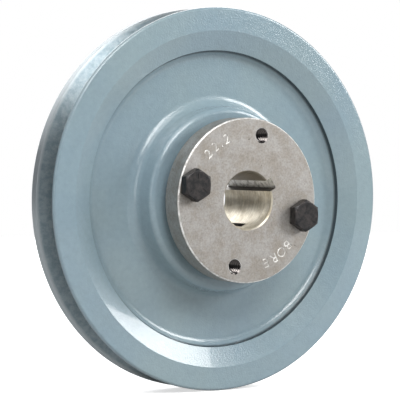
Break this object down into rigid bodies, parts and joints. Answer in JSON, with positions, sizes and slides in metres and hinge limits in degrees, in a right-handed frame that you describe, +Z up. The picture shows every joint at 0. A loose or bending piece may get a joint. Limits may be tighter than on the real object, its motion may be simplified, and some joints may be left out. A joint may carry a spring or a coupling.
{
  "type": "v belt pulley",
  "caption": "Single-groove cast iron V-belt pulley with a plain web, clamped to its shaft by a flanged split taper bushing with cap screws and jack holes.",
  "frame": {"origin": "on the pulley's axis, in the middle plane of the belt groove", "axes": "+Y along the axis from the bushing's flange to the back of the pulley, +Z up, +X to the right seen from the flange's side"},
  "size_m": [0.1512, 0.0403, 0.1512],
  "materials": {
    "enamelled_iron": "gloss light blue-grey enamel over cast iron",
    "bare_steel": "bare mottled machined steel",
    "black_oxide_steel": "black oxide"
  },
  "bodies": {
    "sheave": {"sheave": "enamelled_iron"},
    "bushing": {"split_taper_bushing": "bare_steel"},
    "screw_left": {"cap_screw_left": "black_oxide_steel"},
    "screw_right": {"cap_screw_right": "black_oxide_steel"}
  },
  "joints": [
    {"name": "bushing_draws_out", "type": "slide", "parent": "sheave", "child": "bushing", "axis": [0, -1, 0], "range_m": [0, 0.03]},
    {"name": "left_screw_comes_out", "type": "slide", "parent": "bushing", "child": "screw_left", "axis": [0, -1, 0], "range_m": [0, 0.022]},
    {"name": "right_screw_comes_out", "type": "slide", "parent": "bushing", "child": "screw_right", "axis": [0, -1, 0], "range_m": [0, 0.022]}
  ]
}
